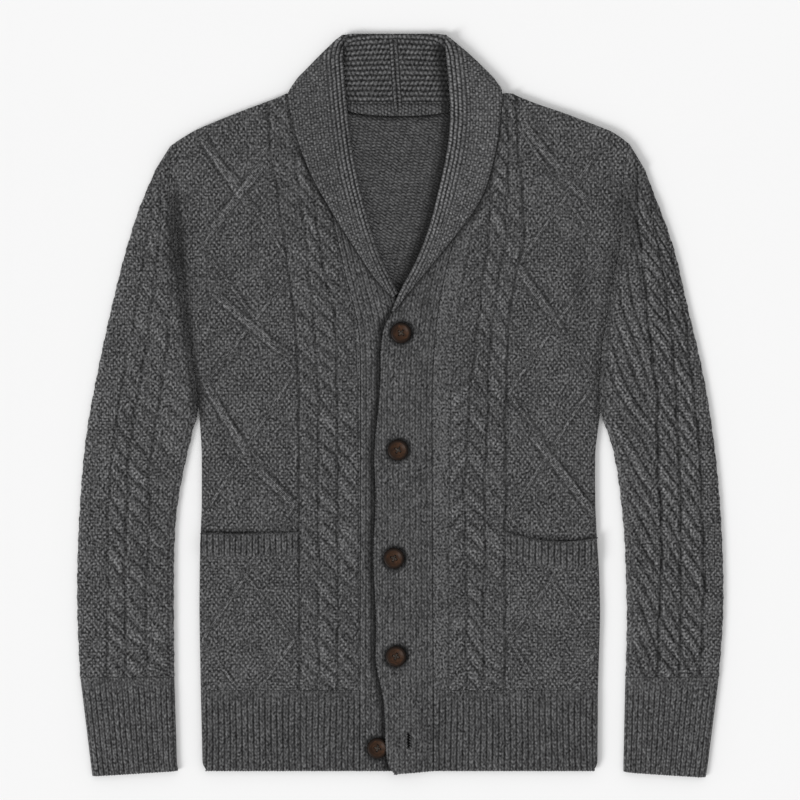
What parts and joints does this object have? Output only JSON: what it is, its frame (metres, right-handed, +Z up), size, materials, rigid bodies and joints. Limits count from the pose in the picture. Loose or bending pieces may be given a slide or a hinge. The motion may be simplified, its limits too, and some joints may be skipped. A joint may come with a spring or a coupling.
{
  "type": "cable knit cardigan",
  "caption": "Long-sleeved cable knit cardigan with a shawl collar, ribbed bands, hem, cuffs and pocket welts, buttoned and laid flat on its back.",
  "frame": {"origin": "middle of the garment's box, on the surface it lies on", "axes": "+X towards the wearer's left, +Y towards the collar, +Z up from the surface"},
  "size_m": [0.6505, 0.7407, 0.0153],
  "materials": {
    "back_knit": "charcoal marl wool, reverse side of a fine knit",
    "cable_knit": "charcoal marl wool, cables and travelling stitches",
    "rib_knit": "charcoal marl wool, ribbed",
    "button": "dark brown, dished with a raised rim, satin"
  },
  "bodies": {
    "root": {"back": "back_knit", "front_right": "cable_knit", "front_left": "cable_knit", "sleeve_right": "cable_knit", "sleeve_left": "cable_knit", "hem_back": "rib_knit", "hem_right": "rib_knit", "hem_left": "rib_knit", "cuff_right": "rib_knit", "cuff_left": "rib_knit", "band_right": "rib_knit", "band_left": "rib_knit", "lapel_right": "rib_knit", "lapel_left": "rib_knit", "collar_right": "rib_knit", "collar_left": "rib_knit", "pocket_right": "rib_knit", "pocket_left": "rib_knit", "button_1": "button", "button_2": "button", "button_3": "button", "button_4": "button", "button_5": "button"}
  },
  "joints": []
}
